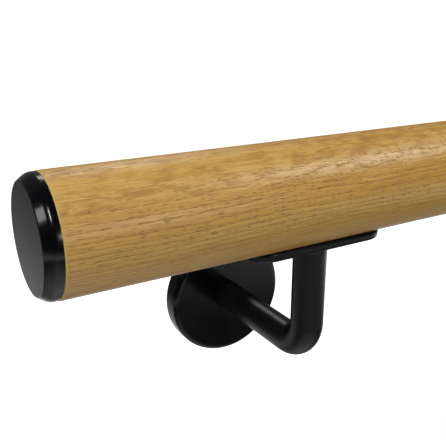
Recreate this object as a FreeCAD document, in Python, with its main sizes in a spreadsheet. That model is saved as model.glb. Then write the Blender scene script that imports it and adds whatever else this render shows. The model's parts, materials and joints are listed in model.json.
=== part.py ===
"""Stair handrail length: a round oak rail with two end caps, carried by two bent-bar wall brackets.

Every piece is drawn as it hangs on a wall: X along the rail, -Y towards the wall, +Z up, with the
origin on the rail's axis. Every placement then lays the whole length on a level floor, where it rests
on the rail and on the upper rims of the two cover roses.
"""
import math
import os

import FreeCAD
import Part
import Sketcher

os.makedirs("parts", exist_ok=True)
doc = FreeCAD.newDocument("stair_handrail")

# Driving dimensions, in millimetres
sheet = doc.addObject("Spreadsheet::Sheet", "Sizes")
sizes = {
    "rail_diameter": "42",
    "rail_length": "1200",
    "cap_diameter": "41.5",
    "cap_land": "2.5",
    "cap_bevel_depth": "3.2",
    "cap_bevel_width": "2.3",
    "spigot_diameter": "12",
    "spigot_length": "18",
    "spigot_clearance": "0.1",
    "bore_run_out": "2",
    "bracket_inset": "107",
    "saddle_length": "68",
    "saddle_width": "16",
    "saddle_thickness": "2",
    "saddle_edge_chamfer": "0.4",
    "screw_end_distance": "11",
    "screw_diameter": "4",
    "screw_head_diameter": "8",
    "screw_length": "25",
    "screw_point_length": "5",
    "screw_point_diameter": "1",
    "screw_hole_diameter": "4.5",
    "screw_clearance": "0.1",
    "pilot_run_out": "1",
    "recess_span": "4.2",
    "recess_width": "1",
    "recess_depth": "1.4",
    "bar_diameter": "14",
    "bend_radius": "13",
    "drop": "71",
    "weld_leg": "2",
    "wall_distance": "73",
    "wall_plate_thickness": "4",
    "wall_plate_clearance": "0.3",
    "fixing_hole_diameter": "5.5",
    "fixing_sink_diameter": "10.5",
    "fixing_circle_diameter": "38",
    "fixing_hole_count": "3",
    "rose_diameter": "62",
    "rose_depth": "9",
    "rose_sheet": "1.2",
    "rose_edge_round": "2.5",
    "rose_bar_clearance": "0.2",
}
for row, (alias, number) in enumerate(sizes.items(), start=1):
    sheet.set(f"A{row}", alias)
    sheet.set(f"B{row}", number)
    sheet.setAlias(f"B{row}", alias)
doc.recompute()

# Expressions that several pieces share
rail_radius = "Sizes.rail_diameter / 2"
cap_radius = "Sizes.cap_diameter / 2"
bar_radius = "Sizes.bar_diameter / 2"
rose_radius = "Sizes.rose_diameter / 2"
saddle_underside = f"({rail_radius} + Sizes.saddle_thickness)"
bracket_place = "(Sizes.rail_length / 2 - Sizes.bracket_inset)"
wall_plate_front = "(Sizes.wall_distance - Sizes.wall_plate_thickness)"
screw_reach = "(Sizes.saddle_length / 2 - Sizes.screw_end_distance)"
screw_head_height = "(Sizes.screw_head_diameter - Sizes.screw_diameter) / 2"
screw_shank_length = f"(Sizes.screw_length - {screw_head_height} - Sizes.screw_point_length)"

# The floor touches the rail and the upper rims of the roses: its direction, from the wall's normal
rim_height = f"(Sizes.drop - {rose_radius})"
rim_distance = f"hypot(Sizes.wall_distance; {rim_height})"
floor_angle = f"(acos({rail_radius} / {rim_distance}) - atan({rim_height} / Sizes.wall_distance))"
far_edge = (
    f"(sin({floor_angle}) * Sizes.wall_distance"
    f" + cos({floor_angle}) * (Sizes.drop + {rose_radius}))"
)

along_x = FreeCAD.Rotation(FreeCAD.Vector(0, 1, 0), 90)
along_minus_y = FreeCAD.Rotation(FreeCAD.Vector(1, 0, 0), 90)
along_z = FreeCAD.Rotation()
quarter_turn = math.pi / 2
flat_zero = FreeCAD.Vector(0, 0, 0)
upright = FreeCAD.Vector(0, 0, 1)


def size(alias):
    """A size from the sheet, for the first guess at a sketch's shape."""
    return float(sheet.get(alias))


def new_body(name):
    body = doc.addObject("PartDesign::Body", name)
    body.Label = name
    return body


def follow_rail(body, place):
    """Lay a piece on the floor as the rail lies, at its own place along the rail."""
    body.Placement = FreeCAD.Placement(flat_zero, FreeCAD.Rotation(FreeCAD.Vector(1, 0, 0), 90))
    body.setExpression("Placement.Rotation.Angle", f"90 deg + {floor_angle}")
    body.setExpression("Placement.Base.x", place)
    body.setExpression("Placement.Base.y", f"-({far_edge} - {rail_radius}) / 2")
    body.setExpression("Placement.Base.z", rail_radius)


def new_sketch(body, name, role, offset=None, rise=None):
    """A sketch on one of the body's own planes, moved along its normal and up within it."""
    sketch = body.newObject("Sketcher::SketchObject", name)
    plane = next(item for item in body.Origin.OriginFeatures if item.Role == role)
    sketch.AttachmentSupport = (plane, [""])
    sketch.MapMode = "FlatFace"
    if offset:
        sketch.setExpression("AttachmentOffset.Base.z", offset)
    if rise:
        sketch.setExpression("AttachmentOffset.Base.y", rise)
    return sketch


def add_distance(sketch, kind, first, second, expression):
    """A distance between two points of a sketch, bound to the sheet; it starts as it was drawn."""
    drawn = sketch.getPoint(*second) - sketch.getPoint(*first)
    length = drawn.x if kind == "DistanceX" else drawn.y
    index = sketch.addConstraint(Sketcher.Constraint(kind, *first, *second, length))
    sketch.setExpression(f"Constraints[{index}]", expression)


def add_circle(sketch, diameter, along=None, side=1):
    """A circle at the sketch's origin, or on its horizontal axis at a distance to one side."""
    guess = FreeCAD.Vector(side if along else 0, 0, 0)
    circle = sketch.addGeometry(Part.Circle(guess, upright, 1))
    if along:
        sketch.addConstraint(Sketcher.Constraint("PointOnObject", circle, 3, -1))
        ends = [(-1, 1), (circle, 3)]
        add_distance(sketch, "DistanceX", *ends[::side], along)
    else:
        sketch.addConstraint(Sketcher.Constraint("Coincident", circle, 3, -1, 1))
    index = sketch.addConstraint(Sketcher.Constraint("Diameter", circle, 2.0))
    sketch.setExpression(f"Constraints[{index}]", diameter)


def pad(body, name, sketch, length, reverse=False, middle=False):
    feature = body.newObject("PartDesign::Pad", name)
    feature.Profile = sketch
    feature.setExpression("Length", length)
    feature.Reversed = reverse
    if middle:
        feature.SideType = "Symmetric"
    doc.recompute()
    return feature


def pocket(body, name, sketch, length, reverse=False):
    """A cut of a given depth, which has to take material away."""
    before = body.Shape.Volume
    feature = body.newObject("PartDesign::Pocket", name)
    feature.Profile = sketch
    feature.setExpression("Length", length)
    feature.Reversed = reverse
    doc.recompute()
    check_cut(body, name, before)
    return feature


def sunk_hole(body, name, sketch, diameter, sink_diameter, reverse):
    """Drilled through, with a 90 degree countersink where the sketch lies."""
    before = body.Shape.Volume
    doc.recompute()
    feature = body.newObject("PartDesign::Hole", name)
    feature.Profile = sketch
    feature.DepthType = "ThroughAll"
    feature.setExpression("Diameter", diameter)
    feature.HoleCutType = "Countersink"
    feature.HoleCutCustomValues = True
    feature.setExpression("HoleCutDiameter", sink_diameter)
    feature.HoleCutCountersinkAngle = 90
    feature.Reversed = reverse
    doc.recompute()
    check_cut(body, name, before)
    return feature


def check_cut(body, name, before):
    if body.Shape.Volume >= before:
        raise RuntimeError(f"{name} cuts nothing")


def solid_of_turning(body, kind, name, turn, radii, height, place):
    """A cylinder or cone of the body, turned onto its axis; place gives x, y and z where not zero."""
    feature = body.newObject(f"PartDesign::{kind}", name)
    feature.Placement = FreeCAD.Placement(flat_zero, turn)
    for property_name, expression in {**radii, "Height": height}.items():
        feature.setExpression(property_name, expression)
    for axis, expression in place.items():
        feature.setExpression(f"Placement.Base.{axis}", expression)
    doc.recompute()
    return feature


def dress_edges(body, kind, name, amount, chosen):
    """A fillet or chamfer on the edges that the test picks from the body's last feature."""
    base = body.Tip
    picked = [f"Edge{number}" for number, edge in enumerate(base.Shape.Edges, start=1) if chosen(edge)]
    feature = body.newObject(f"PartDesign::{kind}", name)
    feature.Base = (base, picked)
    feature.setExpression("Radius" if kind == "Fillet" else "Size", amount)
    doc.recompute()
    return feature


def lies_at(edge, axis, place):
    """True for an edge that lies whole in the plane across one axis."""
    box = edge.BoundBox
    low, high = (getattr(box, axis + end) for end in ("Min", "Max"))
    return abs(low - place) < 1e-4 and abs(high - place) < 1e-4


def make_rail():
    """Turned oak rail with a blind bore in each end and pilot holes under it for the saddle screws."""
    rail = new_body("oak_rail")
    section = new_sketch(rail, "rail_section", "YZ_Plane")
    add_circle(section, "Sizes.rail_diameter")
    pad(rail, "rail_stock", section, "Sizes.rail_length", middle=True)

    bore_diameter = "Sizes.spigot_diameter + 2 * Sizes.spigot_clearance"
    bore_depth = "Sizes.spigot_length + Sizes.bore_run_out"
    for number, sign in ((1, ""), (2, "-")):
        bore = new_sketch(rail, f"bore_circle_{number}", "YZ_Plane", f"{sign}Sizes.rail_length / 2")
        add_circle(bore, bore_diameter)
        pocket(rail, f"bore_{number}", bore, bore_depth, reverse=bool(sign))

    pilots = new_sketch(rail, "pilot_circles", "XY_Plane", f"-{rail_radius}")
    for side in (1, -1):
        for sign in ("+", "-"):
            along = f"{bracket_place} {sign} {screw_reach}"
            add_circle(pilots, "Sizes.screw_diameter + 2 * Sizes.screw_clearance", along, side)
    pilot_depth = "Sizes.screw_length - Sizes.saddle_thickness + Sizes.pilot_run_out"
    pocket(rail, "pilot_holes", pilots, pilot_depth, reverse=True)
    follow_rail(rail, "0")
    return rail


def make_cap(number, sign):
    """Moulded cap: a spigot in the rail's bore, a narrow land and a bevel round a flat face."""
    cap = new_body(f"end_cap_{number}")
    face_radius = f"{cap_radius} - Sizes.cap_bevel_width"
    solid_of_turning(
        cap, "AdditiveCylinder", f"cap_land_{number}", along_x, {"Radius": cap_radius}, "Sizes.cap_land", {}
    )
    solid_of_turning(
        cap,
        "AdditiveCone",
        f"cap_bevel_{number}",
        along_x,
        {"Radius1": cap_radius, "Radius2": face_radius},
        "Sizes.cap_bevel_depth",
        {"x": "Sizes.cap_land"},
    )
    solid_of_turning(
        cap,
        "AdditiveCylinder",
        f"cap_spigot_{number}",
        along_x,
        {"Radius": "Sizes.spigot_diameter / 2"},
        "Sizes.spigot_length",
        {"x": "-Sizes.spigot_length"},
    )
    cap.Placement = FreeCAD.Placement(flat_zero, FreeCAD.Rotation(upright, 0 if sign == "" else 180))
    cap.setExpression("Placement.Base.x", f"{sign}Sizes.rail_length / 2")
    cap.setExpression("Placement.Base.y", f"-({far_edge} - {rail_radius}) / 2")
    cap.setExpression("Placement.Base.z", rail_radius)
    return cap


def make_saddle(number, place):
    """Flat steel strip with round ends, welded on the bar and screwed up into the rail."""
    saddle = new_body(f"saddle_plate_{number}")
    outline = new_sketch(saddle, f"saddle_outline_{number}", "XY_Plane", f"-{rail_radius}")
    end_radius = size("saddle_width") / 2
    half = size("saddle_length") / 2 - end_radius
    right_end = Part.Circle(FreeCAD.Vector(half, 0, 0), upright, end_radius)
    left_end = Part.Circle(FreeCAD.Vector(-half, 0, 0), upright, end_radius)
    corners = [FreeCAD.Vector(x, y, 0) for x, y in ((half, 1), (-half, 1), (-half, -1), (half, -1))]
    for corner in corners:
        corner.y = corner.y * end_radius
    right = outline.addGeometry(Part.ArcOfCircle(right_end, -quarter_turn, quarter_turn))
    back = outline.addGeometry(Part.LineSegment(corners[0], corners[1]))
    left = outline.addGeometry(Part.ArcOfCircle(left_end, quarter_turn, 3 * quarter_turn))
    front = outline.addGeometry(Part.LineSegment(corners[2], corners[3]))
    for first, second in ((right, back), (back, left), (left, front), (front, right)):
        outline.addConstraint(Sketcher.Constraint("Tangent", first, 2, second, 1))
    outline.addConstraint(Sketcher.Constraint("Symmetric", left, 3, right, 3, -1, 1))
    outline.addConstraint(Sketcher.Constraint("PointOnObject", right, 3, -1))
    add_distance(outline, "DistanceX", (left, 3), (right, 3), "Sizes.saddle_length - Sizes.saddle_width")
    add_distance(outline, "DistanceY", (front, 1), (back, 2), "Sizes.saddle_width")
    pad(saddle, f"saddle_strip_{number}", outline, "Sizes.saddle_thickness", reverse=True)
    top = -size("rail_diameter") / 2
    underside = top - size("saddle_thickness")
    dress_edges(
        saddle,
        "Chamfer",
        f"saddle_edges_{number}",
        "Sizes.saddle_edge_chamfer",
        lambda edge: lies_at(edge, "Z", top) or lies_at(edge, "Z", underside),
    )
    holes = new_sketch(saddle, f"saddle_hole_circles_{number}", "XY_Plane", f"-{saddle_underside}")
    for side in (1, -1):
        add_circle(holes, "Sizes.screw_hole_diameter", screw_reach, side)
    sink = "Sizes.screw_head_diameter + 2 * Sizes.screw_clearance"
    sunk_hole(saddle, f"saddle_holes_{number}", holes, "Sizes.screw_hole_diameter", sink, reverse=True)
    follow_rail(saddle, place)
    return saddle


def make_screw(number, end, place):
    """Countersunk wood screw with a cross recess, drawn at its thread's outer diameter."""
    name = f"saddle_screw_{number}{end}"
    screw = new_body(name)
    shank_radius = "Sizes.screw_diameter / 2"
    point_start = f"-{saddle_underside} + {screw_head_height} + {screw_shank_length}"
    solid_of_turning(
        screw,
        "AdditiveCone",
        f"{name}_head",
        along_z,
        {"Radius1": "Sizes.screw_head_diameter / 2", "Radius2": shank_radius},
        screw_head_height,
        {"z": f"-{saddle_underside}"},
    )
    solid_of_turning(
        screw,
        "AdditiveCylinder",
        f"{name}_shank",
        along_z,
        {"Radius": shank_radius},
        screw_shank_length,
        {"z": f"-{saddle_underside} + {screw_head_height}"},
    )
    solid_of_turning(
        screw,
        "AdditiveCone",
        f"{name}_point",
        along_z,
        {"Radius1": shank_radius, "Radius2": "Sizes.screw_point_diameter / 2"},
        "Sizes.screw_point_length",
        {"z": point_start},
    )
    before = screw.Shape.Volume
    spans = {"Length": "Sizes.recess_span", "Width": "Sizes.recess_width"}
    for turn, (along, across) in (("a", ("Length", "Width")), ("b", ("Width", "Length"))):
        slot = screw.newObject("PartDesign::SubtractiveBox", f"{name}_recess_{turn}")
        slot.setExpression("Length", spans[along])
        slot.setExpression("Width", spans[across])
        slot.setExpression("Height", "Sizes.recess_depth")
        slot.setExpression("Placement.Base.x", f"-{spans[along]} / 2")
        slot.setExpression("Placement.Base.y", f"-{spans[across]} / 2")
        slot.setExpression("Placement.Base.z", f"-{saddle_underside}")
    doc.recompute()
    check_cut(screw, name, before)
    follow_rail(screw, place)
    return screw


def make_arm(number, place):
    """Round steel bar with one tight quarter bend, with a weld fillet at each end."""
    arm = new_body(f"bent_arm_{number}")
    path = new_sketch(arm, f"arm_path_{number}", "YZ_Plane")
    bend = size("bend_radius")
    drop = size("drop")
    wall_end = size("wall_distance") - size("wall_plate_thickness")
    leg_top = size("rail_diameter") / 2 + size("saddle_thickness")
    bend_circle = Part.Circle(FreeCAD.Vector(-bend, bend - drop, 0), upright, bend)
    leg = path.addGeometry(
        Part.LineSegment(FreeCAD.Vector(0, -leg_top, 0), FreeCAD.Vector(0, bend - drop, 0))
    )
    elbow = path.addGeometry(Part.ArcOfCircle(bend_circle, -quarter_turn, 0))
    run = path.addGeometry(
        Part.LineSegment(FreeCAD.Vector(-bend, -drop, 0), FreeCAD.Vector(-wall_end, -drop, 0))
    )
    path.addConstraint(Sketcher.Constraint("PointOnObject", leg, 1, -2))
    path.addConstraint(Sketcher.Constraint("Vertical", leg))
    path.addConstraint(Sketcher.Constraint("Horizontal", run))
    path.addConstraint(Sketcher.Constraint("Tangent", leg, 2, elbow, 2))
    path.addConstraint(Sketcher.Constraint("Tangent", elbow, 1, run, 1))
    radius = path.addConstraint(Sketcher.Constraint("Radius", elbow, bend))
    path.setExpression(f"Constraints[{radius}]", "Sizes.bend_radius")
    add_distance(path, "DistanceY", (leg, 1), (-1, 1), saddle_underside)
    add_distance(path, "DistanceY", (run, 2), (-1, 1), "Sizes.drop")
    add_distance(path, "DistanceX", (run, 2), (-1, 1), wall_plate_front)
    section = new_sketch(arm, f"arm_section_{number}", "XY_Plane", f"-{saddle_underside}")
    add_circle(section, "Sizes.bar_diameter")
    doc.recompute()
    bar = arm.newObject("PartDesign::AdditivePipe", f"arm_bar_{number}")
    bar.Profile = section
    bar.Spine = path
    doc.recompute()
    flare = f"{bar_radius} + Sizes.weld_leg"
    solid_of_turning(
        arm,
        "AdditiveCone",
        f"saddle_weld_{number}",
        along_z,
        {"Radius1": bar_radius, "Radius2": flare},
        "Sizes.weld_leg",
        {"z": f"-{saddle_underside} - Sizes.weld_leg"},
    )
    solid_of_turning(
        arm,
        "AdditiveCone",
        f"wall_weld_{number}",
        along_minus_y,
        {"Radius1": bar_radius, "Radius2": flare},
        "Sizes.weld_leg",
        {"y": f"-{wall_plate_front} + Sizes.weld_leg", "z": "-Sizes.drop"},
    )
    follow_rail(arm, place)
    return arm


def make_wall_plate(number, place):
    """Steel disc on the wall, drilled and countersunk for three screws, hidden by the rose."""
    plate = new_body(f"wall_plate_{number}")
    plate_radius = f"{rose_radius} - Sizes.rose_sheet - Sizes.wall_plate_clearance"
    solid_of_turning(
        plate,
        "AdditiveCylinder",
        f"wall_disc_{number}",
        along_minus_y,
        {"Radius": plate_radius},
        "Sizes.wall_plate_thickness",
        {"y": f"-{wall_plate_front}", "z": "-Sizes.drop"},
    )
    circle = new_sketch(plate, f"fixing_circle_{number}", "XZ_Plane", wall_plate_front, "-Sizes.drop")
    hole = circle.addGeometry(Part.Circle(FreeCAD.Vector(0, 1, 0), upright, 1))
    circle.addConstraint(Sketcher.Constraint("PointOnObject", hole, 3, -2))
    add_distance(circle, "DistanceY", (-1, 1), (hole, 3), "Sizes.fixing_circle_diameter / 2")
    diameter = circle.addConstraint(Sketcher.Constraint("Diameter", hole, 2.0))
    circle.setExpression(f"Constraints[{diameter}]", "Sizes.fixing_hole_diameter")
    drilled = sunk_hole(
        plate,
        f"fixing_hole_{number}",
        circle,
        "Sizes.fixing_hole_diameter",
        "Sizes.fixing_sink_diameter",
        reverse=True,
    )
    ring = plate.newObject("PartDesign::PolarPattern", f"fixing_ring_{number}")
    ring.Originals = [drilled]
    ring.Axis = (circle, ["N_Axis"])
    ring.setExpression("Occurrences", "Sizes.fixing_hole_count")
    plate.Tip = ring
    follow_rail(plate, place)
    return plate


def make_rose(number, place):
    """Pressed steel cover: a shallow cup with a rolled front edge, slid along the bar to the wall."""
    rose = new_body(f"cover_rose_{number}")
    front = "(Sizes.wall_distance - Sizes.rose_depth)"
    solid_of_turning(
        rose,
        "AdditiveCylinder",
        f"rose_blank_{number}",
        along_minus_y,
        {"Radius": rose_radius},
        "Sizes.rose_depth",
        {"y": f"-{front}", "z": "-Sizes.drop"},
    )
    front_face = size("rose_depth") - size("wall_distance")
    dress_edges(
        rose,
        "Fillet",
        f"rose_edge_{number}",
        "Sizes.rose_edge_round",
        lambda edge: lies_at(edge, "Y", front_face),
    )
    before = rose.Shape.Volume
    solid_of_turning(
        rose,
        "SubtractiveCylinder",
        f"rose_hollow_{number}",
        along_minus_y,
        {"Radius": f"{rose_radius} - Sizes.rose_sheet"},
        "Sizes.rose_depth - Sizes.rose_sheet",
        {"y": f"-{front} - Sizes.rose_sheet", "z": "-Sizes.drop"},
    )
    check_cut(rose, f"rose_hollow_{number}", before)
    before = rose.Shape.Volume
    solid_of_turning(
        rose,
        "SubtractiveCylinder",
        f"rose_bar_hole_{number}",
        along_minus_y,
        {"Radius": f"{bar_radius} + Sizes.rose_bar_clearance"},
        "Sizes.rose_depth",
        {"y": f"-{front}", "z": "-Sizes.drop"},
    )
    check_cut(rose, f"rose_bar_hole_{number}", before)
    follow_rail(rose, place)
    return rose


pieces = [make_rail()]
for number, sign in ((1, ""), (2, "-")):
    place = f"{sign}{bracket_place}"
    pieces.append(make_cap(number, sign))
    pieces.append(make_saddle(number, place))
    pieces.append(make_screw(number, "a", f"{place} + {screw_reach}"))
    pieces.append(make_screw(number, "b", f"{place} - {screw_reach}"))
    pieces.append(make_arm(number, place))
    pieces.append(make_wall_plate(number, place))
    pieces.append(make_rose(number, place))
doc.recompute()

for item in doc.Objects:
    if "Invalid" in item.State or "Error" in item.State:
        raise RuntimeError(f"{item.Name} did not build: {item.State}")
for piece in pieces:
    if piece.Shape.isNull() or not piece.Shape.isValid() or len(piece.Shape.Solids) != 1:
        raise RuntimeError(f"{piece.Label} is not one valid solid")
for piece in pieces:
    piece.Shape.exportStep(f"parts/{piece.Label}.step")
    box = piece.Shape.optimalBoundingBox()
    print(
        f"{piece.Label}: {piece.Shape.Volume:.1f} mm3,"
        f" x {box.XMin:.2f} to {box.XMax:.2f},"
        f" y {box.YMin:.2f} to {box.YMax:.2f},"
        f" z {box.ZMin:.2f} to {box.ZMax:.2f}"
    )
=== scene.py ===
"""A stair handrail length on a pale floor: a lacquered oak rail, black end caps and black brackets."""
import json
import math

import bpy
from mathutils import Matrix, Vector


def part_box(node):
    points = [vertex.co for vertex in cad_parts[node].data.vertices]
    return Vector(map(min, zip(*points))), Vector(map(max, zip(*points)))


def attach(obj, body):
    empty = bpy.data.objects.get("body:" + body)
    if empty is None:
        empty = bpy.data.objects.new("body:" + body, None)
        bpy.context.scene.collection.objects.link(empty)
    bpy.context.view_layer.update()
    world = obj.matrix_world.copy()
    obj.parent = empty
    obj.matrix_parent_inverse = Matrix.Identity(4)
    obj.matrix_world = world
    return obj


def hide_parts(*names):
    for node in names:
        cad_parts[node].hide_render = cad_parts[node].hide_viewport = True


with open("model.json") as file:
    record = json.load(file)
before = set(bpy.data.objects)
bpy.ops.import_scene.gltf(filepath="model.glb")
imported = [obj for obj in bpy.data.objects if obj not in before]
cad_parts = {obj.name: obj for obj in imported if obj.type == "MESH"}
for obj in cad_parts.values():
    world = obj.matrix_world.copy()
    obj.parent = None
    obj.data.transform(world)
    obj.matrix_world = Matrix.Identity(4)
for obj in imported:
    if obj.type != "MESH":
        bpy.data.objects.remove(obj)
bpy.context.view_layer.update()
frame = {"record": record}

# Oak rail
# One length of solid oak, turned round and sanded, with a satin clear lacquer over open pores.
# A blind bore in each end takes the spigot of an end cap.
mounts = {mount["name"]: mount for mount in frame["record"]["mounts"]}
rail_low, rail_high = (Vector(corner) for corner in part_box("oak_rail"))
rail_middle = (rail_low + rail_high) / 2
rail_radius = (rail_high.z - rail_low.z) / 2
rail_length = rail_high.x - rail_low.x
rail_sides = 192
rail_arris = 0.0005
bore_radius = 0.0061
bore_depth = 0.020
smooth_angle = math.radians(30)
same_place = 1e-6
facing = 0.99

# Each piece is drawn as it hangs, X along the rail, -Y to the wall, Z up, and is then laid down
to_wall = Vector(mounts["wall_face_1"]["axis"])
along_rail = Vector((1, 0, 0))
hung_up = to_wall.cross(along_rail)
laid_down = Matrix((along_rail, -to_wall, hung_up)).transposed().to_4x4()
laid_down.translation = rail_middle

# The grain is drawn in millimetres
millimetre = 0.001
flat_grain_turn = math.radians(108)
ring_width = 1.45
pith_distance = 70.0
grain_slope = 0.004


def pick(kind, test):
    """In edit mode, select the vertices, edges or faces that pass a test of their place or normal."""
    mesh = bpy.context.object.data
    bpy.ops.mesh.select_mode(type=kind)
    bpy.ops.mesh.select_all(action="DESELECT")
    bpy.ops.object.mode_set(mode="OBJECT")
    if kind == "VERT":
        for vertex in mesh.vertices:
            vertex.select = test(vertex.co)
    elif kind == "EDGE":
        for edge in mesh.edges:
            edge.select = test(*(mesh.vertices[index].co for index in edge.vertices))
    else:
        for face in mesh.polygons:
            face.select = test(face.center, face.normal)
    bpy.ops.object.mode_set(mode="EDIT")


def start_piece(add_primitive, **settings):
    """A primitive of its own, with nothing else selected, open for edit."""
    bpy.ops.object.select_all(action="DESELECT")
    add_primitive(**settings)
    bpy.ops.object.transform_apply(location=True, rotation=True, scale=True)
    bpy.ops.object.mode_set(mode="EDIT")


def push_out(x=0.0, y=0.0, z=0.0):
    """Extrude what is selected by a distance."""
    bpy.ops.mesh.extrude_region_move(TRANSFORM_OT_translate={"value": (x, y, z)})


def close_up():
    """Weld doubles, turn all faces outwards and leave edit mode."""
    bpy.ops.mesh.select_all(action="SELECT")
    bpy.ops.mesh.remove_doubles(threshold=same_place)
    bpy.ops.mesh.normals_make_consistent(inside=False)
    bpy.ops.object.mode_set(mode="OBJECT")


def finish_pieces(word, places, material):
    """Lay the piece down at each place, a copy with its own mesh at each after the first."""
    bpy.ops.object.shade_smooth_by_angle(angle=smooth_angle)
    model = bpy.context.object
    model.data.materials.clear()
    model.data.materials.append(material)
    pieces = [model]
    for _ in range(len(places) - 1):
        copy = model.copy()
        copy.data = model.data.copy()
        bpy.context.collection.objects.link(copy)
        pieces.append(copy)
    for piece, (node, place) in zip(pieces, places.items()):
        piece.name = f"{word}_{node}"
        piece.data.name = piece.name
        piece.data.transform(laid_down @ place)
        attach(piece, "root")
        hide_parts(node)


class Signal:
    """A shader socket that can be calculated with, so that a pattern reads like a formula."""

    def __init__(self, socket):
        self.socket = socket
        self.tree = socket.id_data

    def node(self, kind, output, settings=None, **inputs):
        """Add a node: its settings first, then a number, colour or link for each named socket."""
        node = self.tree.nodes.new(kind)
        for name, value in (settings or {}).items():
            setattr(node, name, value)
        for name, value in inputs.items():
            numbered = name[0] == "n" and name[1:].isdigit()
            place = int(name[1:]) if numbered else name.replace("_", " ")
            if isinstance(value, Signal):
                self.tree.links.new(value.socket, node.inputs[place])
            else:
                node.inputs[place].default_value = value
        return Signal(node.outputs[output])

    def math(self, operation, first, second=0.0):
        return self.node("ShaderNodeMath", 0, {"operation": operation}, n0=first, n1=second)

    def __add__(self, other):
        return self.math("ADD", self, other)

    def __radd__(self, other):
        return self.math("ADD", other, self)

    def __sub__(self, other):
        return self.math("SUBTRACT", self, other)

    def __rsub__(self, other):
        return self.math("SUBTRACT", other, self)

    def __mul__(self, other):
        return self.math("MULTIPLY", self, other)

    def __rmul__(self, other):
        return self.math("MULTIPLY", other, self)

    def __truediv__(self, other):
        return self.math("DIVIDE", self, other)

    def size(self):
        """This value without its sign."""
        return self.math("ABSOLUTE", self)

    def fraction(self):
        return self.math("FRACT", self)

    def less(self, limit):
        return self.math("LESS_THAN", self, limit)

    def rise(self, low, high):
        """0 at low, 1 at high, with a soft step between; a low above high makes it fall."""
        settings = {"interpolation_type": "SMOOTHSTEP"}
        return self.node("ShaderNodeMapRange", 0, settings, Value=self, From_Min=low, From_Max=high)

    def blend(self, first, second):
        """A colour between two, by this share."""
        settings = {"data_type": "RGBA"}
        return self.node("ShaderNodeMix", 2, settings, n0=self, n6=first, n7=second)

    def stretched(self, scale):
        """These coordinates with another scale on each axis."""
        return self.node("ShaderNodeMapping", 0, {}, Vector=self, Scale=scale)

    def noise(self, detail=2.0, roughness=0.5):
        """Cloudy noise at these coordinates."""
        sockets = {"Scale": 1.0, "Detail": detail, "Roughness": roughness}
        return self.node("ShaderNodeTexNoise", 0, {}, Vector=self, **sockets)

    def years(self, scale, detail):
        """How one year's ring differs from the next: noise along this one value."""
        settings = {"noise_dimensions": "1D"}
        return self.node("ShaderNodeTexNoise", 0, settings, W=self, Scale=scale, Detail=detail)

    def cells(self, output):
        """Scattered cells at these coordinates."""
        return self.node("ShaderNodeTexVoronoi", output, {}, Vector=self, Scale=1.0)


def new_material(name, base, roughness, specular):
    """A material, its shader and its Object coordinates."""
    material = bpy.data.materials.new(name)
    material.use_nodes = True
    shader = material.node_tree.nodes["Principled BSDF"]
    shader.inputs["Base Color"].default_value = base
    shader.inputs["Roughness"].default_value = roughness
    shader.inputs["Specular IOR Level"].default_value = specular
    coordinates = material.node_tree.nodes.new("ShaderNodeTexCoord")
    return material, shader, Signal(coordinates.outputs["Object"])


def feed(shader, name, signal):
    """Link a signal to a named socket of the shader."""
    signal.tree.links.new(signal.socket, shader.inputs[name])


def feed_bump(shader, height, strength, distance):
    """Let a height tilt the shader's normal."""
    sockets = {"Height": height, "Strength": strength, "Distance": distance}
    feed(shader, "Normal", height.node("ShaderNodeBump", 0, {}, **sockets))


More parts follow.
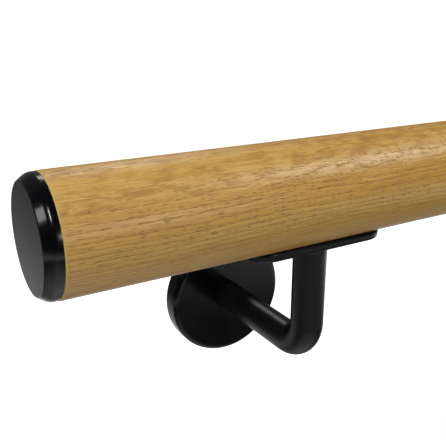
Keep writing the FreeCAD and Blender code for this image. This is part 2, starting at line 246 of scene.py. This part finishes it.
def oak_material():
    """Growth rings round a pith outside the rail, rows of open pores in the early wood, fine fibres,
    and a painted highlight on the arris at each end.
    """
    gold_wood = (0.226, 0.1080, 0.0074, 1)
    pale_wood = (0.297, 0.192, 0.045, 1)
    line_wood = (0.160, 0.073, 0.0062, 1)
    pore_brown = (0.095, 0.044, 0.004, 1)
    arris_highlight_colour = (0.330, 0.240, 0.085, 1)
    material, shader, place = new_material("satin_oak", gold_wood, roughness=0.4, specular=0.4)
    grain = place.node(
        "ShaderNodeMapping",
        0,
        {"vector_type": "TEXTURE"},
        Vector=place,
        Location=rail_middle,
        Rotation=(flat_grain_turn, 0, 0),
        Scale=(millimetre, millimetre, millimetre),
    )
    x, y, z = (grain.node("ShaderNodeSeparateXYZ", axis, {}, Vector=grain) for axis in "XYZ")
    flat_face = z.rise(15.0, 21.0)

    # How deep in the tree each point was, and where that is in its year's ring
    sway_reach = 5.0
    ripple_reach = 0.5
    flat_ripple_reach = 2.6
    season_reach = 2.5
    sway = grain.stretched((0.012, 0.030, 0.030)).noise(1.0) - 0.5
    ripple = grain.stretched((0.070, 0.17, 0.17)).noise(2.0) - 0.5
    depth = z + y * y / (2 * pith_distance) + x * grain_slope + sway * sway_reach
    depth = depth + ripple * (ripple_reach + flat_face * flat_ripple_reach)
    season = depth.years(0.20, 2.0)
    ring = ((depth + season * season_reach) / ring_width).fraction()
    early_row = (1 - ring.rise(0.04, 0.38)) * ring.rise(0.0, 0.06)
    late_wood = ring.rise(0.30, 0.95) * (1 - ring.rise(0.96, 1.0)) * (0.25 - flat_face * 0.15)

    # Broad bands of years, the figure of the flat face, and fibres along the grain
    broad = depth.years(0.13, 2.0)
    figure = grain.stretched((0.11, 0.36, 0.36)).noise(3.0, 0.6)
    fibre = grain.stretched((0.10, 1.3, 1.3)).noise(3.0, 0.6)
    silk = grain.stretched((0.055, 2.6, 2.6)).noise(5.0, 0.70)

    # Long thin pores, most of them in the early wood
    loose_pores = 0.10
    upper_pores = 0.12
    row_pores = 0.80
    pore_place = grain.stretched((0.36, 4.6, 4.6))
    pore_cell = pore_place.cells("Color")
    pore_chance = pore_cell.node("ShaderNodeSeparateColor", 0, {}, Color=pore_cell)
    pore_share = loose_pores + z.rise(-4.0, 8.0) * upper_pores + early_row * row_pores
    pore = (1 - pore_place.cells("Distance").rise(0.20, 0.60)) * pore_chance.less(pore_share)
    pore_tint = (0.36 + z.rise(0.0, 9.0) * 0.34) * (1 - flat_face * 0.40)
    pore_sink = pore * (1 - flat_face * 0.40)

    # The arris at each end is painted paler: a painted highlight where the edge catches the light
    arris_start = (rail_length / 2 - rail_arris) / millimetre
    arris_blur = 0.1
    arris = x.size().rise(arris_start - arris_blur, arris_start + arris_blur)

    colour = (broad.rise(0.36, 0.64) * 0.50 + late_wood).blend(gold_wood, pale_wood)
    colour = (figure.rise(0.46, 0.58) * flat_face * 0.60).blend(colour, pale_wood)
    colour = (figure.rise(0.48, 0.36) * flat_face * 0.50).blend(colour, line_wood)
    row_line = early_row * fibre.rise(0.30, 0.60) * (0.46 - flat_face * 0.26)
    colour = row_line.blend(colour, line_wood)
    colour = (silk.rise(0.50, 0.66) * 0.58).blend(colour, line_wood)
    colour = (silk.rise(0.48, 0.34) * 0.75).blend(colour, pale_wood)
    colour = (pore * pore_tint).blend(colour, pore_brown)
    # Painted highlight along the arris at each end
    colour = (arris * 0.9).blend(colour, arris_highlight_colour)
    feed(shader, "Base Color", colour)
    feed(shader, "Roughness", 0.36 + silk * 0.12 + pore * 0.10)
    feed_bump(shader, silk * 0.25 - pore_sink, strength=0.58, distance=0.0002)
    return material


start_piece(
    bpy.ops.mesh.primitive_cylinder_add,
    vertices=rail_sides,
    radius=rail_radius,
    depth=rail_length,
    rotation=(0, math.pi / 2, 0),
)
pick("EDGE", lambda a, b: abs(a.x - b.x) < same_place)
bpy.ops.mesh.bevel(offset=rail_arris, segments=1, affect="EDGES")
for end in (1, -1):
    pick("FACE", lambda middle, normal: normal.x * end > facing)
    bpy.ops.mesh.inset(thickness=rail_radius - rail_arris - bore_radius)
    push_out(x=-end * bore_depth)
close_up()
finish_pieces("lacquered", {"oak_rail": Matrix()}, oak_material())

# End caps
# A moulded black cap closes each end: a narrow land proud of the wood, a polished bevel and a
# satin flat face, held by a spigot pushed into the rail's bore.
cap_low, cap_high = (Vector(corner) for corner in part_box("end_cap_1"))
cap_radius = (cap_high.z - cap_low.z) / 2
cap_front = cap_high.x - rail_high.x
cap_land = 0.0025
cap_bevel_width = 0.0023
cap_face_round = 0.0004
cap_land_round = 0.0011
cap_round_steps = 5
cap_sides = 160
spigot_radius = 0.006
spigot_length = 0.018


def cap_material():
    """Black moulding, with a fine tooled texture on the flat face and a polished bevel and land."""
    moulding_black = (0.002, 0.002, 0.0023, 1)
    polished_black = (0.0010, 0.0010, 0.0014, 1)
    satin_black = (0.0060, 0.0060, 0.0060, 1)
    bevel_ends = cap_high.x - 0.0002
    face_starts = cap_high.x - 0.00005
    texture_scale = 1500
    haze_scale = 90
    material, shader, place = new_material(
        "moulded_black_cap", moulding_black, roughness=0.3, specular=0.19
    )
    along = place.node("ShaderNodeSeparateXYZ", "X", {}, Vector=place)
    face = along.size().rise(bevel_ends, face_starts)
    texture = place.stretched((texture_scale, texture_scale, texture_scale)).noise(2.0)
    haze = place.stretched((haze_scale, haze_scale, haze_scale)).noise(2.0)
    feed(shader, "Base Color", (face * (0.6 + haze * 0.5)).blend(polished_black, satin_black))
    feed(shader, "Roughness", 0.15 + haze * 0.05 + face * (0.19 + texture * 0.06))
    feed_bump(shader, texture * (0.2 + face), strength=0.05, distance=0.0001)
    return material


start_piece(
    bpy.ops.mesh.primitive_cylinder_add,
    vertices=cap_sides,
    radius=cap_radius,
    depth=cap_land,
    location=(cap_land / 2, 0, 0),
    rotation=(0, math.pi / 2, 0),
)
pick("FACE", lambda middle, normal: normal.x > facing)
push_out(x=cap_front - cap_land)
face_share = 1 - cap_bevel_width / cap_radius
bpy.ops.transform.resize(value=(1, face_share, face_share), center_override=(cap_front, 0, 0))
for station, round_off in ((cap_front, cap_face_round), (cap_land, cap_land_round)):
    pick("EDGE", lambda a, b: max(abs(a.x - station), abs(b.x - station)) < same_place)
    bpy.ops.mesh.bevel(offset=round_off, segments=cap_round_steps, affect="EDGES")
pick("FACE", lambda middle, normal: normal.x < -facing)
bpy.ops.mesh.inset(thickness=cap_radius - spigot_radius)
push_out(x=-spigot_length)
close_up()
near_end = Matrix.Translation((rail_length / 2, 0, 0))
far_end = Matrix.Rotation(math.pi, 4, "Z") @ near_end
finish_pieces("moulded", {"end_cap_1": near_end, "end_cap_2": far_end}, cap_material())

# Saddle plates
# A steel strip with round ends under the rail, flat below and hollowed on top to the rail's curve,
# drilled and countersunk for two screws. It is powder coated black with its arm and wall plate.
saddle_length = 0.0665
saddle_width = 0.020
saddle_thickness = 0.002
saddle_rim = 0.0042
saddle_edge_round = 0.0015
saddle_round_steps = 6
saddle_sides = 96
saddle_underside = -rail_radius - saddle_thickness
rail_clearance = 0.00003
screw_end_distance = 0.01025
screw_hole_radius = 0.00225
screw_sink_radius = 0.0041
hole_sides = 64
wall_faces = [Vector(mounts[f"wall_face_{number}"]["pos_m"]) for number in (1, 2)]
wall_points = [laid_down.inverted() @ face for face in wall_faces]
bracket_places = [Matrix.Translation((point.x, 0, 0)) for point in wall_points]


def coat_material(name, base, roughness, specular):
    """Black coat with a fine orange peel, a little uneven in gloss."""
    peel_scale = 900
    haze_scale = 55
    haze_gain = 2.2
    haze_gloss = 0.12
    material, shader, place = new_material(name, base, roughness, specular)
    peel = place.stretched((peel_scale, peel_scale, peel_scale)).noise(2.0)
    haze = place.stretched((haze_scale, haze_scale, haze_scale)).noise(3.0)
    pale = tuple(haze_gain * part for part in base[:3]) + (1,)
    feed(shader, "Base Color", haze.rise(0.35, 0.75).blend(base, pale))
    feed(shader, "Roughness", roughness - haze_gloss / 2 + haze * haze_gloss)
    feed_bump(shader, peel, strength=0.07, distance=0.0002)
    return material


def cut_away(piece):
    """Take the active object's shape out of a piece, and the object out of the scene."""
    cutter = bpy.context.object
    bpy.ops.object.select_all(action="DESELECT")
    bpy.context.view_layer.objects.active = piece
    piece.select_set(True)
    cut = piece.modifiers.new("cut", "BOOLEAN")
    cut.object = cutter
    cut.solver = "EXACT"
    bpy.ops.object.modifier_apply(modifier=cut.name)
    bpy.data.objects.remove(cutter)


def countersink(places, hole_radius, sink_radius, through, turn=Matrix()):
    """Drill the piece at each place along Z, the wide end of the countersink at the place."""
    piece = bpy.context.object
    spare = 0.0005
    for place in places:
        start_piece(
            bpy.ops.mesh.primitive_cone_add,
            vertices=hole_sides,
            radius1=sink_radius + spare,
            radius2=hole_radius,
            depth=sink_radius + spare - hole_radius,
            location=(0, 0, (sink_radius - spare - hole_radius) / 2),
        )
        pick("FACE", lambda middle, normal: normal.z > facing)
        push_out(z=through)
        close_up()
        bpy.context.object.data.transform(Matrix.Translation(place) @ turn)
        cut_away(piece)


start_piece(
    bpy.ops.mesh.primitive_cylinder_add,
    vertices=saddle_sides,
    radius=saddle_width / 2,
    depth=saddle_rim,
    location=(0, 0, saddle_underside + saddle_rim / 2),
    rotation=(0, 0, math.pi / saddle_sides),
)
for side in (1, -1):
    pick("VERT", lambda place: place.x * side > 0)
    bpy.ops.transform.translate(value=(side * (saddle_length - saddle_width) / 2, 0, 0))
pick("EDGE", lambda a, b: abs(a.z - b.z) < same_place)
bpy.ops.mesh.bevel(offset=saddle_edge_round, segments=saddle_round_steps, affect="EDGES")
close_up()
saddle = bpy.context.object
start_piece(
    bpy.ops.mesh.primitive_cylinder_add,
    vertices=rail_sides,
    radius=rail_radius + rail_clearance,
    depth=2 * saddle_length,
    rotation=(0, math.pi / 2, 0),
)
close_up()
cut_away(saddle)
screw_reach = saddle_length / 2 - screw_end_distance
screw_places = [Vector((side * screw_reach, 0, saddle_underside)) for side in (1, -1)]
countersink(screw_places, screw_hole_radius, screw_sink_radius, saddle_thickness)
coat_black = (0.0018, 0.0018, 0.0019, 1)
black_coat = coat_material("black_powder_coat", coat_black, roughness=0.30, specular=0.12)
saddle_nodes = ("saddle_plate_1", "saddle_plate_2")
finish_pieces("coated", dict(zip(saddle_nodes, bracket_places)), black_coat)

# Saddle screws
# Countersunk wood screws in black zinc, two through each saddle plate into the rail, with a cross
# recess. The thread is out of sight in the wood, so it is drawn as a shank of its outer diameter.
screw_radius = 0.002
screw_head_radius = 0.004
screw_length = 0.025
screw_point_length = 0.005
screw_point_radius = 0.0005
screw_rim = 0.0002
screw_sides = 48
recess_span = 0.0042
recess_width = 0.001
recess_depth = 0.0014
recess_taper = 0.55

start_piece(
    bpy.ops.mesh.primitive_cylinder_add,
    vertices=screw_sides,
    radius=screw_head_radius,
    depth=screw_rim,
    location=(0, 0, saddle_underside + screw_rim / 2),
)
pick("FACE", lambda middle, normal: normal.z > facing)
stations = (
    (screw_head_radius - screw_radius, screw_radius),
    (screw_length - screw_point_length, screw_radius),
    (screw_length, screw_point_radius),
)
reached = screw_rim
radius_now = screw_head_radius
for station, radius in stations:
    push_out(z=station - reached)
    share = radius / radius_now
    station_middle = (0, 0, saddle_underside + station)
    bpy.ops.transform.resize(value=(share, share, 1), center_override=station_middle)
    reached = station
    radius_now = radius
close_up()
screw = bpy.context.object
for turn in (0, math.pi / 2):
    start_piece(bpy.ops.mesh.primitive_cube_add, size=1)
    bpy.ops.transform.resize(value=(recess_span, recess_width, 2 * recess_depth))
    pick("FACE", lambda middle, normal: normal.z > facing)
    bpy.ops.transform.resize(value=(recess_taper, recess_taper, 1), center_override=(0, 0, 0))
    close_up()
    recess_place = Matrix.Translation((0, 0, saddle_underside)) @ Matrix.Rotation(turn, 4, "Z")
    bpy.context.object.data.transform(recess_place)
    cut_away(screw)
screw_nodes = {}
for number, place in enumerate(bracket_places, start=1):
    for end, side in (("a", 1), ("b", -1)):
        along_saddle = Matrix.Translation((side * screw_reach, 0, 0))
        screw_nodes[f"saddle_screw_{number}{end}"] = place @ along_saddle
zinc_black = (0.006, 0.006, 0.007, 1)
screw_black = coat_material("black_zinc_screw", zinc_black, roughness=0.30, specular=0.3)
finish_pieces("driven", screw_nodes, screw_black)

# Bent arms
# One round steel bar for each bracket, bent through a right angle, with a weld fillet where it
# meets the saddle plate and the wall plate.
bar_radius = 0.007
bar_sides = 64
bend_radius = 0.013
bend_steps = 28
weld_leg = 0.002
weld_profile = ((0.0, 1.0), (0.25, 0.55), (0.55, 0.20), (1.0, 0.0), (1.2, 0.0))
weld_reach = weld_profile[-1][0] * weld_leg
wall_plate_thickness = 0.004
wall_distance = -wall_points[0].y
drop = -wall_points[0].z
down = Vector((0, 0, -1))
wallward = Vector((0, -1, 0))


def weld_bar(direction, origin, from_plate):
    """Draw the bar out of, or into, a plate through the hollow curve of its weld fillet."""
    steps = weld_profile if from_plate else tuple(reversed(weld_profile))
    for (depth_before, flare_before), (depth_after, flare_after) in zip(steps, steps[1:]):
        move = direction * abs(depth_after - depth_before) * weld_leg
        push_out(*move)
        origin = origin + move
        share = (bar_radius + flare_after * weld_leg) / (bar_radius + flare_before * weld_leg)
        scale = [1.0 if part else share for part in direction]
        bpy.ops.transform.resize(value=scale, center_override=origin)


start_piece(
    bpy.ops.mesh.primitive_circle_add,
    vertices=bar_sides,
    radius=bar_radius + weld_leg,
    fill_type="NGON",
    location=(0, 0, saddle_underside),
)
bpy.ops.mesh.select_all(action="SELECT")
weld_bar(down, Vector((0, 0, saddle_underside)), from_plate=True)
push_out(z=-(drop - bend_radius + saddle_underside - weld_reach))
bend_middle = (0, -bend_radius, bend_radius - drop)
bpy.ops.mesh.spin(steps=bend_steps, angle=math.pi / 2, center=bend_middle, axis=along_rail)
run = wall_distance - wall_plate_thickness - bend_radius - weld_reach
push_out(y=-run)
weld_bar(wallward, Vector((0, -bend_radius - run, -drop)), from_plate=False)
bpy.ops.mesh.select_all(action="DESELECT")
bpy.ops.mesh.select_mode(type="FACE")
bpy.ops.mesh.select_interior_faces()
bpy.ops.mesh.delete(type="FACE")
close_up()
arm_nodes = ("bent_arm_1", "bent_arm_2")
finish_pieces("coated", dict(zip(arm_nodes, bracket_places)), black_coat)

# Wall plates
# A steel disc on the wall, drilled and countersunk for three screws, welded to the bar's end and
# out of sight under the rose.
rose_low, rose_high = (Vector(corner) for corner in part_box("cover_rose_1"))
rose_radius = (rose_high.x - rose_low.x) / 2
rose_sheet = 0.0012
rose_fit = 0.0003
wall_plate_radius = rose_radius - rose_sheet - rose_fit
wall_plate_round = 0.0003
wall_plate_round_steps = 2
wall_plate_sides = 128
fixing = mounts["wall_screws_1"]["dims"]
fixing_hole_radius = fixing["hole_r_mm"] * millimetre
fixing_circle_radius = fixing["pcd_mm"] * millimetre / 2
fixing_sink_radius = 0.00525

start_piece(
    bpy.ops.mesh.primitive_cylinder_add,
    vertices=wall_plate_sides,
    radius=wall_plate_radius,
    depth=wall_plate_thickness,
    location=(0, wall_plate_thickness / 2 - wall_distance, -drop),
    rotation=(math.pi / 2, 0, 0),
)
pick("EDGE", lambda a, b: abs(a.y - b.y) < same_place)
bpy.ops.mesh.bevel(offset=wall_plate_round, segments=wall_plate_round_steps, affect="EDGES")
close_up()
fixing_angles = [math.tau * index / fixing["count"] for index in range(fixing["count"])]
fixing_places = [
    Vector((
        fixing_circle_radius * math.sin(angle),
        wall_plate_thickness - wall_distance,
        fixing_circle_radius * math.cos(angle) - drop,
    ))
    for angle in fixing_angles
]
countersink(
    fixing_places,
    fixing_hole_radius,
    fixing_sink_radius,
    wall_plate_thickness,
    Matrix.Rotation(math.pi / 2, 4, "X"),
)
plate_nodes = ("wall_plate_1", "wall_plate_2")
finish_pieces("coated", dict(zip(plate_nodes, bracket_places)), black_coat)

# Cover roses
# A pressed steel cup with a rolled front edge, slid along the bar to the wall over the plate and
# its screws. Its black coat is smoother than the arm's, and painted darker as painted shade.
rose_depth = 0.009
rose_edge_round = 0.0025
rose_round_steps = 8
rose_sides = 160
rose_bar_clearance = 0.0002
rose_front = rose_depth - wall_distance
square_on = 0.999

start_piece(
    bpy.ops.mesh.primitive_cylinder_add,
    vertices=rose_sides,
    radius=rose_radius,
    depth=rose_depth,
    location=(0, rose_depth / 2 - wall_distance, -drop),
    rotation=(math.pi / 2, 0, 0),
)
pick("FACE", lambda middle, normal: normal.y < -facing)
bpy.ops.mesh.delete(type="FACE")
pick("EDGE", lambda a, b: min(a.y, b.y) > rose_front - same_place)
bpy.ops.mesh.bevel(offset=rose_edge_round, segments=rose_round_steps, affect="EDGES")
pick("FACE", lambda middle, normal: normal.y > square_on)
bpy.ops.mesh.inset(thickness=rose_sheet)
bar_hole_radius = bar_radius + rose_bar_clearance
bpy.ops.mesh.inset(thickness=rose_radius - rose_edge_round - rose_sheet - bar_hole_radius)
bpy.ops.mesh.delete(type="FACE")
close_up()
sheet = bpy.context.object.modifiers.new("sheet", "SOLIDIFY")
sheet.thickness = rose_sheet
sheet.offset = -1
sheet.use_even_offset = True
bpy.ops.object.modifier_apply(modifier=sheet.name)
# A darker copy of the arm's coat black: painted shade on the rose
rose_shaded_black = (0.0010, 0.0010, 0.0010, 1)
rose_coat = coat_material("smooth_shaded_black_coat", rose_shaded_black, roughness=0.17, specular=0.12)
rose_nodes = ("cover_rose_1", "cover_rose_2")
finish_pieces("coated", dict(zip(rose_nodes, bracket_places)), rose_coat)

# Floor and light
# A pale floor that glows like a light table and casts no shadow, a white backdrop, a soft room
# light from overhead and from low in front, and six softboxes round one end of the rail.
floor_size = 60.0
floor_gap = 0.0005
floor_grey = (0.5, 0.5, 0.5, 1)
floor_glow = 0.98
white = (1, 1, 1, 1)
bpy.ops.object.select_all(action="DESELECT")
bpy.ops.mesh.primitive_plane_add(size=floor_size, location=(0, 0, -floor_gap))
floor = bpy.context.object
floor.name = "floor"
floor.visible_shadow = False
floor.visible_glossy = False
floor_material, floor_shader, _ = new_material("pale_floor", floor_grey, roughness=0.9, specular=0.1)
floor_shader.inputs["Emission Color"].default_value = white
floor_shader.inputs["Emission Strength"].default_value = floor_glow
floor.data.materials.append(floor_material)

scene = bpy.context.scene
scene.view_settings.view_transform = "Standard"
world = bpy.data.worlds.new("studio")
scene.world = world
world.use_nodes = True
studio = world.node_tree.nodes["Background"]
studio.inputs["Color"].default_value = white
sky = Signal(world.node_tree.nodes.new("ShaderNodeTexCoord").outputs["Generated"])


def toward(direction):
    """How far the sky lies in a direction, 1 straight that way."""
    settings = {"operation": "DOT_PRODUCT"}
    return sky.node("ShaderNodeVectorMath", "Value", settings, n0=sky, n1=direction)


room_dim = 0.05
overhead_light = 1.4
band_light = 2.3
backdrop_dim = 0.12
table_light = 0.92
overhead_way = Vector((0.10, 0.38, 0.92)).normalized()
overhead = toward(overhead_way).rise(0.65, 0.99)
backdrop = toward(to_wall).rise(0.15, 0.45)
below = -1 * toward(hung_up)
table = below.rise(0.20, 0.55) * (1 - below.rise(0.62, 0.80) * 0.8)
band = below.rise(0.18, 0.36) * (1 - below.rise(0.375, 0.425) * 0.97)
front_room = room_dim + overhead * overhead_light + (1 - backdrop) * band * band_light
room = front_room + backdrop * (backdrop_dim + table * table_light)
seen = Signal(world.node_tree.nodes.new("ShaderNodeLightPath").outputs["Is Camera Ray"])
feed(studio, "Strength", seen + (1 - seen) * room)

lit_end = Vector((rail_high.x, rail_middle.y, rail_middle.z))


def add_softbox(name, way, distance, width, height, watts):
    """A lamp with an even white face, some way off in a direction from the lit end and facing it."""
    light = bpy.data.lights.new(name, "AREA")
    light.shape = "RECTANGLE"
    light.size = width
    light.size_y = height
    light.energy = watts
    lamp = bpy.data.objects.new(name, light)
    bpy.context.collection.objects.link(lamp)
    lamp.location = lit_end + Vector(way) * distance
    lamp.rotation_euler = (lit_end - lamp.location).to_track_quat("-Z", "Y").to_euler()


add_softbox("long_softbox", (-0.70, -0.67, -0.25), 1.45, width=0.34, height=0.16, watts=7.8)
add_softbox("front_softbox", (-0.36, -0.81, 0.46), 1.2, width=0.30, height=0.12, watts=4.7)
add_softbox("side_softbox", (0.78, -0.55, -0.30), 1.2, width=0.34, height=0.40, watts=5.6)
add_softbox("rim_softbox", (0.22, -0.955, -0.18), 1.2, width=0.08, height=0.42, watts=8.2)
add_softbox("back_softbox", (-0.25, 0.08, -0.965), 1.5, width=0.30, height=0.30, watts=1.8)
add_softbox("top_softbox", (-0.40, 0.14, -0.905), 1.5, width=0.30, height=0.30, watts=1.6)

# Camera
# A plain camera at the photograph's viewing angle. Its place was fitted to the photograph with the
# rail's radius as the unit of length, from the middle of the rail's near end as it hangs.
view_azimuth = 0.5395
view_elevation = 0.3209
view_distance = 9.4174
view_right = 2.678
view_up = 0.2024
focal_pixels = 627.71
image_pixels = 446
sensor_width = 36.0
nearest_seen = 0.01
back = Vector((
    math.sin(view_azimuth) * math.cos(view_elevation),
    math.cos(view_azimuth) * math.cos(view_elevation),
    math.sin(view_elevation),
))
right = (-back).cross(Vector((0, 0, 1))).normalized()
up = right.cross(-back)
eye = (back * view_distance + right * view_right + up * view_up) * rail_radius
hung_camera = Matrix((right, up, back)).transposed().to_4x4()
hung_camera.translation = eye + Vector((rail_length / 2, 0, 0))
camera_data = bpy.data.cameras.new("camera")
camera_data.sensor_width = sensor_width
camera_data.lens = focal_pixels * sensor_width / image_pixels
camera_data.clip_start = nearest_seen
camera = bpy.data.objects.new("camera", camera_data)
bpy.context.collection.objects.link(camera)
camera.matrix_world = laid_down @ hung_camera
scene.camera = camera
